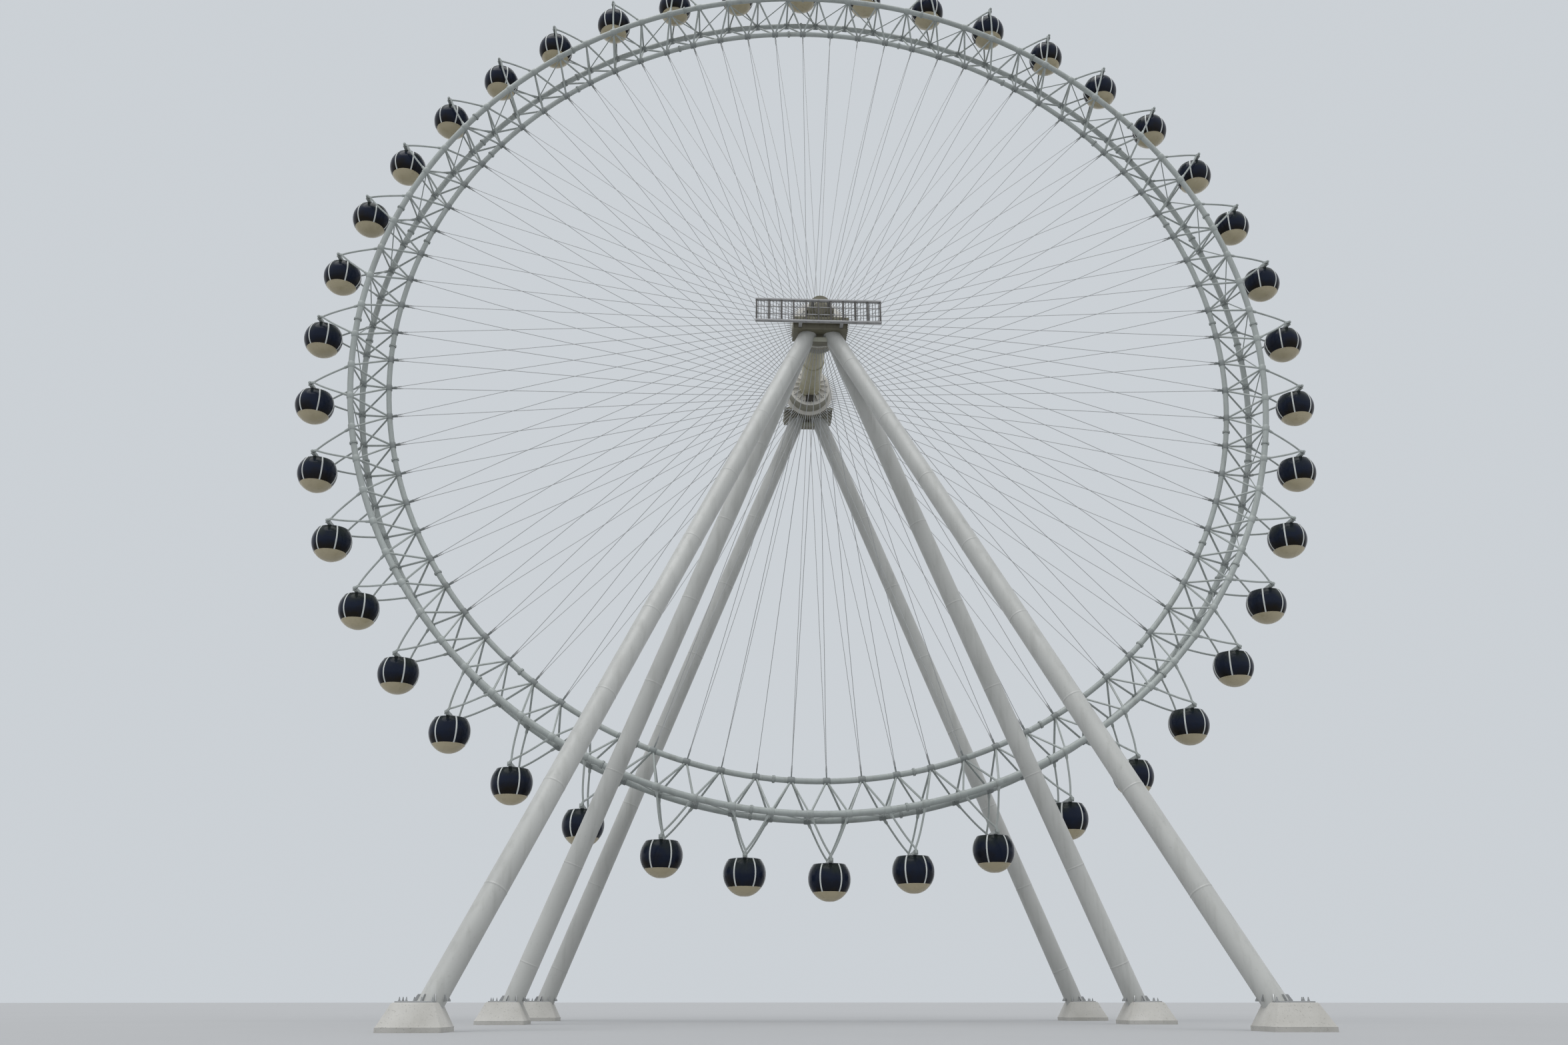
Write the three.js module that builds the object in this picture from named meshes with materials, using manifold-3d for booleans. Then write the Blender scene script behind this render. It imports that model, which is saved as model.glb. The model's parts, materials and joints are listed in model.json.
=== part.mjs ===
// Ferris wheel on six legs, scale model 1:10. Millimetres, +Z up, wheel axis along Y.
// The front faces -Y. The origin is on the ground, in the middle of the bounding box.
import * as THREE from 'three';
import { mergeVertices } from 'three/addons/utils/BufferGeometryUtils.js';
import Module from 'manifold-3d';

const wasm = await Module();
wasm.setup();

// Scale: full-size metres become millimetres of the 1:10 model.
const modelScale = 1 / 10;
const m = (metres) => metres * 1000 * modelScale;
const degrees = Math.PI / 180;
const gap = 0.3;

// Wheel
const axisHeight = m(48.8);
const pivotRadius = m(38.7);
const cabinCount = 42;
const wheelPhase = 91.13 * degrees;
const innerChordRadius = m(33.2);
const innerChordTube = m(0.21);
const outerChordRadius = m(35.68);
const outerChordTube = m(0.235);
const outerChordOffset = m(1.66);
const webBar = m(0.13);
const webSeat = m(0.06);
const crossBar = m(0.10);

// Cabin carriers and cabins
const armRadius = m(0.1);
const armSides = 3;
const armBend = m(0.16);
const cabinRadius = m(1.45);
const pivotAboveCabin = m(1.09);
const cabinLatitudes = [-40, -8, 20, 38];
const roofHeight = m(0.95);
const bowlRingRadius = m(0.75);
const bowlRingDepth = m(1.27);
const bowlDepth = m(1.5);
const hangerWidth = m(0.3);
const hangerBottom = m(0.86);
const hangerTop = m(1.22);
const hangerEndGap = m(0.02);
const cabinSegments = 10;

// Hub
const spindleRadius = m(0.81);
const journalRadius = m(0.6);
const flangeRadius = m(1.7);
const flangeOffset = m(5.69);
const flangeThickness = m(0.34);
const anchorRadius = m(1.95);
const anchorThickness = m(0.2);
const fanNames = ['top', 'right', 'left'];
const spokeRadius = m(0.04);
const spokeSeat = m(0.12);
const spokeEndGap = m(0.02);
const hubSegments = 24;

// Legs and heads
const legRadius = m(0.61);
const legSides = 12;
const legTopDrop = m(1.73);
const legTopX = m(0.91);
const legPlane = m(7.12);
const uprightFootX = m(19.32);
const splayedFootX = m(20.02);
const splayedFootY = m(26.21);
const pedestalHeight = m(1.3);
const pedestalTop = m(0.85);
const pedestalBase = m(1.45);
const legOverrun = m(2);
const shoulderGap = m(0.1);
const saddleHeight = m(0.54);
const saddleHalfWidth = m(2.0);
const headDepth = m(1.9);
const housingHalfWidth = m(1.0);
const housingTop = m(1.15);
const journalClearance = m(0.02);
const deckHalfWidth = m(2.05);
const deckDepth = m(2.6);
const deckThickness = m(0.18);
const deckOverhang = m(0.2);
const headOverlap = m(0.02);
const crossbeamDrop = m(2.03);
const crossbeamHeight = m(0.37);
const crossbeamDepth = m(0.65);
const crossbeamHalfWidth = m(0.9);
const tieWidth = m(0.4);
const tieThickness = m(0.1);
const signHalfWidth = m(4.6);
const signBottom = m(-1.6);
const signTop = m(0.3);
const signDepth = m(0.3);
const signBar = m(0.16);
const signPlane = m(8.8);
const signCentreX = m(-0.2);
const signPosts = 7;
const signStubWidth = m(0.3);
const signStubX = m(0.6);

// Colours read as paint, glass and steel
function paint(color, roughness, metalness) {
  return new THREE.MeshStandardMaterial({ color, roughness, metalness });
}

const whitePaint = paint(0xc9cdca, 0.45, 0.1);
const legPaint = paint(0xd2d3cc, 0.45, 0.1);
const bowlPaint = paint(0x2a3646, 0.2, 0.1);
const cablePaint = paint(0xb9bec2, 0.4, 0.6);
const hubPaint = paint(0x7f7d68, 0.5, 0.2);
const signPaint = paint(0x9a9ba0, 0.5, 0.2);

// Only the front has splayed legs, so the wheel stands behind the middle of the part's depth.
const frontReach = splayedFootY + pedestalBase;
const backReach = legPlane + deckOverhang + deckDepth / 2;
const wheelPlaneY = (frontReach - backReach) / 2;
const wheel = new THREE.Group();
wheel.position.set(0, wheelPlaneY, axisHeight);
const support = new THREE.Group();
support.position.set(0, wheelPlaneY, 0);

// Closed geometry to solid and back
function solid(geometry) {
  const bare = geometry.clone();
  bare.deleteAttribute('normal');
  bare.deleteAttribute('uv');
  const merged = mergeVertices(bare, 1e-3);
  return new wasm.Manifold(new wasm.Mesh({
    numProp: 3,
    vertProperties: new Float32Array(merged.attributes.position.array),
    triVerts: new Uint32Array(merged.index.array),
  }));
}

function geometryOf(body) {
  const mesh = body.getMesh();
  const geometry = new THREE.BufferGeometry();
  geometry.setAttribute('position', new THREE.BufferAttribute(mesh.vertProperties, 3));
  geometry.setIndex(new THREE.BufferAttribute(mesh.triVerts, 1));
  geometry.computeVertexNormals();
  return geometry;
}

function join(bodies) {
  return bodies.reduce((whole, body) => whole.add(body));
}

function addPiece(group, name, body, material) {
  const mesh = new THREE.Mesh(geometryOf(body), material);
  mesh.name = name;
  group.add(mesh);
  return mesh;
}

// Straight bar between two points, as a prism with its first edge turned by roll
function bar(start, end, radius, sides, roll = 0) {
  const length = start.distanceTo(end);
  const geometry = new THREE.CylinderGeometry(radius, radius, length, sides);
  geometry.rotateY(roll);
  const along = end.clone().sub(start).normalize();
  const turn = new THREE.Quaternion().setFromUnitVectors(new THREE.Vector3(0, 1, 0), along);
  geometry.applyQuaternion(turn);
  const middle = start.clone().add(end).multiplyScalar(0.5);
  geometry.translate(middle.x, middle.y, middle.z);
  return solid(geometry);
}

// Round bar along a curve
function sweep(path, radius, sides, steps) {
  const section = new THREE.Shape();
  for (let index = 0; index < sides; index += 1) {
    const angle = 2 * Math.PI * index / sides;
    const x = radius * Math.cos(angle);
    const y = radius * Math.sin(angle);
    if (index === 0) {
      section.moveTo(x, y);
    } else {
      section.lineTo(x, y);
    }
  }
  section.closePath();
  return solid(new THREE.ExtrudeGeometry(section, { steps, bevelEnabled: false, extrudePath: path }));
}

function box(width, depth, height, x, y, z) {
  const geometry = new THREE.BoxGeometry(width, depth, height);
  geometry.translate(x, y, z);
  return solid(geometry);
}

// A point of the wheel: angle from +X towards +Z, about the wheel's own axis
function wheelPoint(radius, y, angle) {
  return new THREE.Vector3(radius * Math.cos(angle), y, radius * Math.sin(angle));
}

const bayAngle = 2 * Math.PI / cabinCount;
const nodeCount = 2 * cabinCount;
const nodeAngle = bayAngle / 2;
const innerNodeAngle = (index) => wheelPhase + index * nodeAngle;
const outerNodeAngle = (index) => wheelPhase + (index + 0.5) * nodeAngle;

// A chord: ring of straight square tubes that bend midway between the nodes. Tilt turns its flats to the web.
function chord(radius, y, tube, firstAngle, tilt = 0) {
  const bendRadius = radius / Math.cos(nodeAngle / 2);
  const outline = [];
  for (const corner of [5, 7, 1, 3, 5]) {
    const angle = corner * Math.PI / 4 + tilt;
    outline.push(new THREE.Vector2(
      bendRadius + tube * Math.SQRT2 * Math.cos(angle),
      tube * Math.SQRT2 * Math.sin(angle),
    ));
  }
  const geometry = new THREE.LatheGeometry(outline, nodeCount);
  geometry.rotateY(-firstAngle + (Math.PI - nodeAngle) / 2);
  geometry.translate(0, y, 0);
  return solid(geometry);
}

// Bracing as one closed zigzag of diamond bars: each bend takes its place on a torus's mesh
function zigzagRing(bends, bendRise, thickness) {
  const geometry = new THREE.TorusGeometry(1, 0.5, 4, bends.length);
  const position = geometry.attributes.position;
  for (let side = 0; side <= 4; side += 1) {
    for (let turn = 0; turn <= bends.length; turn += 1) {
      const { centre, up, across } = bends[turn % bends.length];
      const corner = side * Math.PI / 2;
      const place = centre.clone()
        .addScaledVector(up, bendRise * Math.cos(corner))
        .addScaledVector(across, thickness * Math.sin(corner));
      position.setXYZ(side * (bends.length + 1) + turn, place.x, place.y, place.z);
    }
  }
  return solid(geometry);
}

// Web between the inner chord and one outer chord. Its bends stop short of the first and enter the second.
function webRing(side) {
  const bends = [];
  const rise = outerChordRadius - innerChordRadius;
  const slope = Math.hypot(rise, outerChordOffset);
  const bendRise = webBar * 1.9;
  const cornerReach = (rise + outerChordOffset) / slope;
  const innerStop = innerChordTube * cornerReach + gap + bendRise;
  const outerStop = outerChordTube + bendRise - webSeat;
  for (let index = 0; index < nodeCount; index += 1) {
    for (const [angle, distance] of [
      [innerNodeAngle(index), innerStop],
      [outerNodeAngle(index), slope - outerStop],
    ]) {
      const radius = innerChordRadius + rise * distance / slope;
      const y = side * outerChordOffset * distance / slope;
      const outward = wheelPoint(1, 0, angle);
      const up = outward.clone().multiplyScalar(rise / slope);
      up.y = side * outerChordOffset / slope;
      const across = outward.clone().multiplyScalar(outerChordOffset / slope);
      across.y = -side * rise / slope;
      bends.push({ centre: wheelPoint(radius, y, angle), up, across: across.multiplyScalar(side) });
    }
  }
  return zigzagRing(bends, bendRise, webBar);
}

// Zigzag from the front outer chord to the back one
function crossRing() {
  const bends = [];
  const bendRise = crossBar * 1.55;
  const reach = outerChordOffset - outerChordTube * Math.SQRT2 - gap - bendRise;
  for (let index = 0; index < nodeCount; index += 1) {
    const angle = outerNodeAngle(index);
    const side = index % 2 === 0 ? -1 : 1;
    bends.push({
      centre: wheelPoint(outerChordRadius, side * reach, angle),
      up: new THREE.Vector3(0, 1, 0),
      across: wheelPoint(1, 0, angle),
    });
  }
  return zigzagRing(bends, bendRise, crossBar);
}

// Outer chord with its web and, for each cabin, one bent rod that makes two arms
function truss(side) {
  const y = side * outerChordOffset;
  const webTilt = side * Math.atan2(outerChordOffset, outerChordRadius - innerChordRadius);
  const pieces = [
    chord(outerChordRadius, y, outerChordTube, outerNodeAngle(0), webTilt),
    webRing(side),
  ];
  for (let index = 0; index < cabinCount; index += 1) {
    const angle = wheelPhase + index * bayAngle;
    const left = wheelPoint(outerChordRadius, y, angle - nodeAngle / 2);
    const right = wheelPoint(outerChordRadius, y, angle + nodeAngle / 2);
    const pivot = wheelPoint(pivotRadius, y, angle);
    const outward = wheelPoint(armBend, 0, angle);
    const path = new THREE.CatmullRomCurve3([
      left,
      left.clone().lerp(pivot, 0.6).add(outward),
      pivot,
      right.clone().lerp(pivot, 0.6).add(outward),
      right,
    ]);
    pieces.push(sweep(path, armRadius, armSides, 4));
  }
  return join(pieces);
}

// Anchor ring round one hub flange
function anchorRing(side) {
  const half = anchorThickness / 2;
  const inner = flangeRadius + gap;
  const outline = [
    new THREE.Vector2(inner, -half),
    new THREE.Vector2(anchorRadius, -half),
    new THREE.Vector2(anchorRadius, half),
    new THREE.Vector2(inner, half),
    new THREE.Vector2(inner, -half),
  ];
  const ring = new THREE.LatheGeometry(outline, hubSegments);
  ring.translate(0, side * flangeOffset, 0);
  return solid(ring);
}

// One third of a side's cables, each to its own node of the inner chord, on their part of the anchor ring
function spokeFan(side, ring, fan) {
  const y = side * flangeOffset;
  const count = nodeCount / fanNames.length;
  const first = Math.round((Math.PI / 2 - wheelPhase - Math.PI / fanNames.length) / nodeAngle) - fan * count;
  const from = innerNodeAngle(first - 0.5);
  const reach = 4 * anchorRadius;
  const corner = wheelPoint(gap, 0, from + count * nodeAngle / 2);
  const wedge = new THREE.Shape();
  wedge.moveTo(0, 0);
  for (const turn of [0, 0.5, 1]) {
    const angle = from + turn * count * nodeAngle;
    wedge.lineTo(reach * Math.cos(angle), reach * Math.sin(angle));
  }
  wedge.closePath();
  const block = new THREE.ExtrudeGeometry(wedge, { depth: 2 * anchorThickness, bevelEnabled: false });
  block.rotateX(Math.PI / 2);
  block.translate(corner.x, y + anchorThickness, corner.z);
  const pieces = [ring.intersect(solid(block))];
  for (let index = 0; index < count; index += 1) {
    const angle = innerNodeAngle(first + index);
    const root = wheelPoint(anchorRadius - spokeSeat, y, angle);
    const node = wheelPoint(innerChordRadius, 0, angle);
    const along = node.clone().sub(root).normalize();
    node.addScaledVector(along, -(innerChordTube + spokeEndGap));
    pieces.push(bar(root, node, spokeRadius, 3));
  }
  return join(pieces);
}

// Axle with a shoulder and a journal at each end and a flange near each head
function spindle() {
  const end = legPlane + headDepth / 2;
  const shoulder = legPlane - headDepth / 2 - shoulderGap;
  const innerFace = flangeOffset - flangeThickness / 2;
  const outerFace = flangeOffset + flangeThickness / 2;
  const half = [
    [spindleRadius, innerFace],
    [flangeRadius, innerFace],
    [flangeRadius, outerFace],
    [spindleRadius, outerFace],
    [spindleRadius, shoulder],
    [journalRadius, shoulder],
    [journalRadius, end],
    [0, end],
  ];
  const front = half.map(([radius, y]) => new THREE.Vector2(radius, -y)).reverse();
  const back = half.map(([radius, y]) => new THREE.Vector2(radius, y));
  return solid(new THREE.LatheGeometry([...front, ...back], hubSegments));
}

// Cabin about its own centre: globe with a flattened roof, bowl under it and the hanger across the roof
function cabin() {
  const outline = [new THREE.Vector2(0, -bowlDepth), new THREE.Vector2(bowlRingRadius, -bowlRingDepth)];
  for (const latitude of cabinLatitudes) {
    const angle = latitude * degrees;
    outline.push(new THREE.Vector2(cabinRadius * Math.cos(angle), cabinRadius * Math.sin(angle)));
  }
  outline.push(new THREE.Vector2(0, roofHeight));
  const lathe = new THREE.LatheGeometry(outline, cabinSegments);
  lathe.rotateX(Math.PI / 2);
  const reach = outerChordOffset - armRadius - hangerEndGap;
  const hanger = box(hangerWidth, 2 * reach, hangerTop - hangerBottom, 0, 0, (hangerTop + hangerBottom) / 2);
  return join([solid(lathe), hanger]);
}

// The points that the legs of one corner stand on. Only the front has a splayed leg beside the upright one.
function legFeet(sideX, sideY) {
  const feet = [new THREE.Vector3(sideX * uprightFootX, sideY * legPlane, 0)];
  if (sideY < 0) {
    feet.push(new THREE.Vector3(sideX * splayedFootX, sideY * splayedFootY, 0));
  }
  return feet;
}

// One leg's tube, longer than the leg at both ends
function legTube(crown, foot, radius) {
  const along = foot.clone().sub(crown).normalize();
  const start = crown.clone().addScaledVector(along, -legOverrun);
  const end = foot.clone().addScaledVector(along, legOverrun);
  return bar(start, end, radius, legSides);
}

function legCrown(sideX, sideY) {
  return new THREE.Vector3(sideX * legTopX, sideY * legPlane, axisHeight - legTopDrop);
}

// Legs of one corner, which share their top, with a pedestal under each
function legSet(sideX, sideY) {
  const crown = legCrown(sideX, sideY);
  const pieces = [];
  for (const foot of legFeet(sideX, sideY)) {
    pieces.push(legTube(crown, foot, legRadius));
    const pedestal = new THREE.CylinderGeometry(
      pedestalTop * Math.SQRT2, pedestalBase * Math.SQRT2, pedestalHeight, 4);
    pedestal.rotateY(Math.PI / 4);
    pedestal.rotateX(Math.PI / 2);
    pedestal.translate(foot.x, foot.y, pedestalHeight / 2);
    pieces.push(solid(pedestal));
  }
  const joined = join(pieces);
  const span = 4 * splayedFootY;
  const keep = box(span, span, crown.z, 0, 0, crown.z / 2);
  return joined.intersect(keep);
}

// Crossbeam between the leg tops, shaped to their tubes, on a tie plate that hangs from the saddle
function crossbeam(sideY, saddleBottom) {
  const y = sideY * legPlane;
  const top = axisHeight - crossbeamDrop;
  const tieTop = saddleBottom + headOverlap;
  const tieBottom = top - headOverlap;
  let beam = box(2 * crossbeamHalfWidth, crossbeamDepth, crossbeamHeight, 0, y, top - crossbeamHeight / 2)
    .add(box(tieWidth, tieThickness, tieTop - tieBottom, 0, y, (tieTop + tieBottom) / 2));
  for (const sideX of [-1, 1]) {
    const crown = legCrown(sideX, sideY);
    for (const foot of legFeet(sideX, sideY)) {
      beam = beam.subtract(legTube(crown, foot, legRadius + gap / Math.cos(Math.PI / legSides)));
    }
  }
  return beam;
}

// Bearing head: saddle box on the leg tops, housing round the journal, service deck and crossbeam
function head(sideY) {
  const y = sideY * legPlane;
  const bottom = axisHeight - legTopDrop + gap;
  const saddleTop = bottom + saddleHeight;
  const deckZ = saddleTop + deckThickness / 2 - headOverlap;
  const housingBottom = saddleTop - headOverlap;
  const housingZ = (housingBottom + axisHeight + housingTop) / 2;
  const pieces = [
    box(2 * saddleHalfWidth, headDepth, saddleHeight, 0, y, bottom + saddleHeight / 2),
    box(2 * housingHalfWidth, headDepth, axisHeight + housingTop - housingBottom, 0, y, housingZ),
    box(2 * deckHalfWidth, deckDepth, deckThickness, 0, y + sideY * deckOverhang, deckZ),
    crossbeam(sideY, bottom),
  ];
  const boreRadius = journalRadius + journalClearance;
  const bore = new THREE.CylinderGeometry(boreRadius, boreRadius, 2 * headDepth, hubSegments);
  bore.translate(0, y, axisHeight);
  return join(pieces).subtract(solid(bore));
}

// Open sign frame without any lettering
function signFrame() {
  const y = -signPlane;
  const height = signTop - signBottom;
  const middle = axisHeight + (signTop + signBottom) / 2;
  const pieces = [
    box(2 * signHalfWidth, signDepth, signBar, signCentreX, y, axisHeight + signTop - signBar / 2),
    box(2 * signHalfWidth, signDepth, signBar, signCentreX, y, axisHeight + signBottom + signBar / 2),
  ];
  const spacing = (2 * signHalfWidth - signBar) / (signPosts - 1);
  for (let index = 0; index < signPosts; index += 1) {
    const x = signCentreX - signHalfWidth + signBar / 2 + index * spacing;
    pieces.push(box(signBar, signDepth, height, x, y, middle));
  }
  const rear = -(legPlane + headDepth / 2 + gap);
  const stub = rear - y;
  for (const side of [-1, 1]) {
    const z = axisHeight + signTop - signBar / 2;
    pieces.push(box(signStubWidth, stub, signBar, side * signStubX, y + stub / 2, z));
  }
  return join(pieces);
}

const ferrisWheel = new THREE.Group();
ferrisWheel.add(wheel);
ferrisWheel.add(support);

addPiece(wheel, 'rim_inner_chord', chord(innerChordRadius, 0, innerChordTube, innerNodeAngle(0)), whitePaint);
addPiece(wheel, 'rim_front_truss', truss(-1), whitePaint);
addPiece(wheel, 'rim_back_truss', truss(1), whitePaint);
addPiece(wheel, 'rim_cross_web', crossRing(), whitePaint);
for (const [sideName, side] of [['front', -1], ['back', 1]]) {
  const ring = anchorRing(side);
  fanNames.forEach((fanName, fan) => {
    addPiece(wheel, sideName + '_spokes_' + fanName, spokeFan(side, ring, fan), cablePaint);
  });
}
addPiece(wheel, 'spindle', spindle(), hubPaint);

const cabinBody = cabin();
for (let index = 0; index < cabinCount; index += 1) {
  const pivot = wheelPoint(pivotRadius, 0, wheelPhase - index * bayAngle);
  const name = 'cabin_' + String(index + 1).padStart(2, '0');
  const mesh = addPiece(wheel, name, cabinBody, bowlPaint);
  mesh.position.set(pivot.x, 0, pivot.z - pivotAboveCabin);
}

addPiece(support, 'front_left_legs', legSet(-1, -1), legPaint);
addPiece(support, 'front_right_legs', legSet(1, -1), legPaint);
addPiece(support, 'back_left_leg', legSet(-1, 1), legPaint);
addPiece(support, 'back_right_leg', legSet(1, 1), legPaint);
addPiece(support, 'front_head', head(-1), hubPaint);
addPiece(support, 'back_head', head(1), hubPaint);
addPiece(support, 'sign_frame', signFrame(), signPaint);

export default ferrisWheel;
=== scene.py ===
import json
import math
import bmesh
import bpy
from mathutils import Matrix, Vector


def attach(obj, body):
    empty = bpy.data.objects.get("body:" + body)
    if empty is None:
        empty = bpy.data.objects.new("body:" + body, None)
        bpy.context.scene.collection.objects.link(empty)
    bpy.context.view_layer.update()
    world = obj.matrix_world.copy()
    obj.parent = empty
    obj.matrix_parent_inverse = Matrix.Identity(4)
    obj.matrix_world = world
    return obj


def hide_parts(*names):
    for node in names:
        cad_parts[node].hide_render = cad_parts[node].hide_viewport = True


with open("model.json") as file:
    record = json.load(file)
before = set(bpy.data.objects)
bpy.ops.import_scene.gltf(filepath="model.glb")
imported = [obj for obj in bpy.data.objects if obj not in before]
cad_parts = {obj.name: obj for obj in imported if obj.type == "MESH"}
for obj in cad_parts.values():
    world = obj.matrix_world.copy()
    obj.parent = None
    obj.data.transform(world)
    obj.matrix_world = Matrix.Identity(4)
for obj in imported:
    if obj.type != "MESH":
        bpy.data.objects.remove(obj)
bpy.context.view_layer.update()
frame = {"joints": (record.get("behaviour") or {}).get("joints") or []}        # metres, +Z up, the wheel turns about Y

spin = frame["joints"][0]
levels = frame["joints"][1:]
hub = Vector(spin["pos_m"])
firstPivot = Vector(levels[0]["pos_m"]) - hub

# where the rim's lines run, about the hub
wheel = {
    "bays": len(levels),
    "phase": math.atan2(firstPivot.z, firstPivot.x),
    "innerRadius": 3.32,
    "outerRadius": 3.568,
    "outerOffset": 0.166,
    "pivotRadius": math.hypot(firstPivot.x, firstPivot.z),
    "flangeOffset": 0.569,
    "anchorRadius": 0.195,
}
nodes = 2 * wheel["bays"]
nodeStep = 2 * math.pi / nodes
halfStep = nodeStep / 2
innerFirst = wheel["phase"]
outerFirst = wheel["phase"] + halfStep
cableRise = wheel["innerRadius"] - wheel["anchorRadius"]
cableLength = math.hypot(cableRise, wheel["flangeOffset"])


# node trees

def setInputs(tree, node, inputs):
    # each value is another node's output or a plain value
    for key, value in inputs.items():
        if isinstance(value, bpy.types.NodeSocket):
            tree.links.new(value, node.inputs[key])
        else:
            node.inputs[key].default_value = value


def addNode(tree, kind, inputs=None, **settings):
    node = tree.nodes.new(kind)
    for key, value in settings.items():
        setattr(node, key, value)
    setInputs(tree, node, inputs or {})
    return node


def calc(tree, operation, first, second=0.0):
    return addNode(tree, "ShaderNodeMath", {0: first, 1: second}, operation=operation).outputs[0]


def vectorCalc(tree, operation, first, second=(0, 0, 0)):
    node = addNode(tree, "ShaderNodeVectorMath", {0: first, 1: second}, operation=operation)
    return node.outputs["Value" if operation == "LENGTH" else "Vector"]


def startTree(name, sizes):
    tree = bpy.data.node_groups.new(name, "GeometryNodeTree")
    tree.interface.new_socket("Geometry", in_out="INPUT", socket_type="NodeSocketGeometry")
    for label, value in sizes.items():
        if value is None:
            kind = "NodeSocketMaterial"
        elif isinstance(value, int):
            kind = "NodeSocketInt"
        else:
            kind = "NodeSocketVector" if isinstance(value, tuple) else "NodeSocketFloat"
        socket = tree.interface.new_socket(label, in_out="INPUT", socket_type=kind)
        if value is not None:
            socket.default_value = value
    tree.interface.new_socket("Geometry", in_out="OUTPUT", socket_type="NodeSocketGeometry")
    return tree, addNode(tree, "NodeGroupInput").outputs


def endTree(tree, geometry, material):
    real = addNode(tree, "GeometryNodeRealizeInstances", {0: geometry})
    painted = addNode(tree, "GeometryNodeSetMaterial", {"Geometry": real.outputs[0], "Material": material})
    addNode(tree, "NodeGroupOutput", {0: painted.outputs[0]})
    return tree


def ringAngle(tree, given):
    # the angle of each copy round the wheel
    index = addNode(tree, "GeometryNodeInputIndex").outputs[0]
    step = calc(tree, "DIVIDE", 2 * math.pi, given["Count"])
    return calc(tree, "ADD", calc(tree, "MULTIPLY", index, step), given["First Angle"])


def ringBarsTree():
    # straight bars round the axle, each from a start radius and offset to an end radius and offset
    tree, given = startTree("ringBars", {
        "Count": 84, "First Angle": 0.0, "Start Radius": 1.0, "End Radius": 2.0, "Start Offset": 0.0,
        "End Offset": 0.0, "Start Turn": 0.0, "End Turn": 0.0, "Thickness": 0.01, "Sides": 6,
        "Centre": (0.0, 0.0, 0.0), "Material": None})
    angle = ringAngle(tree, given)
    ends = []
    for end in ("Start", "End"):
        turned = calc(tree, "ADD", angle, given[end + " Turn"])
        x = calc(tree, "MULTIPLY", calc(tree, "COSINE", turned), given[end + " Radius"])
        z = calc(tree, "MULTIPLY", calc(tree, "SINE", turned), given[end + " Radius"])
        ends.append(addNode(tree, "ShaderNodeCombineXYZ", {0: x, 1: given[end + " Offset"], 2: z}).outputs[0])
    along = vectorCalc(tree, "SUBTRACT", ends[1], ends[0])
    middle = vectorCalc(tree, "MULTIPLY", vectorCalc(tree, "ADD", ends[0], ends[1]), (0.5, 0.5, 0.5))
    place = vectorCalc(tree, "ADD", middle, given["Centre"])
    points = addNode(tree, "GeometryNodePoints", {"Count": given["Count"], "Position": place})
    rod = addNode(tree, "GeometryNodeMeshCylinder", {"Vertices": given["Sides"], "Radius": 1.0, "Depth": 1.0})
    mapped = addNode(tree, "GeometryNodeStoreNamedAttribute", {
        "Geometry": rod.outputs["Mesh"], "Name": "UVMap", "Value": rod.outputs["UV Map"]},
        data_type="FLOAT2", domain="CORNER")
    turn = addNode(tree, "FunctionNodeAlignRotationToVector", {"Vector": along}, axis="Z")
    scale = addNode(tree, "ShaderNodeCombineXYZ", {
        0: given["Thickness"], 1: given["Thickness"], 2: vectorCalc(tree, "LENGTH", along)})
    copies = addNode(tree, "GeometryNodeInstanceOnPoints", {
        "Points": points.outputs[0], "Instance": mapped.outputs[0], "Rotation": turn.outputs[0],
        "Scale": scale.outputs[0]})
    return endTree(tree, copies.outputs[0], given["Material"])


def ringCopiesTree():
    # copies of the object's own mesh, drawn about the axle at wheel angle nought
    tree, given = startTree("ringCopies", {
        "Count": 84, "First Angle": 0.0, "Centre": (0.0, 0.0, 0.0), "Material": None})
    points = addNode(tree, "GeometryNodePoints", {"Count": given["Count"], "Position": given["Centre"]})
    turn = addNode(tree, "ShaderNodeCombineXYZ", {1: calc(tree, "MULTIPLY", ringAngle(tree, given), -1.0)})
    rotation = addNode(tree, "FunctionNodeEulerToRotation", {0: turn.outputs[0]})
    copies = addNode(tree, "GeometryNodeInstanceOnPoints", {
        "Points": points.outputs[0], "Instance": given["Geometry"], "Rotation": rotation.outputs[0]})
    return endTree(tree, copies.outputs[0], given["Material"])


def ringTubeTree():
    # round tube bent to a circle about the axle
    tree, given = startTree("ringTube", {
        "Radius": 1.0, "Offset": 0.0, "Tube": 0.02, "Segments": 252, "Sides": 12,
        "Centre": (0.0, 0.0, 0.0), "Material": None})
    circle = addNode(tree, "GeometryNodeCurvePrimitiveCircle", {
        "Resolution": given["Segments"], "Radius": given["Radius"]})
    section = addNode(tree, "GeometryNodeCurvePrimitiveCircle", {
        "Resolution": given["Sides"], "Radius": given["Tube"]})
    tube = addNode(tree, "GeometryNodeCurveToMesh", {
        "Curve": circle.outputs[0], "Profile Curve": section.outputs[0]})
    shift = addNode(tree, "ShaderNodeCombineXYZ", {1: given["Offset"]})
    place = vectorCalc(tree, "ADD", shift.outputs[0], given["Centre"])
    placed = addNode(tree, "GeometryNodeTransform", {
        "Geometry": tube.outputs[0], "Translation": place, "Rotation": (math.pi / 2, 0, 0)})
    return endTree(tree, placed.outputs[0], given["Material"])


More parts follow.
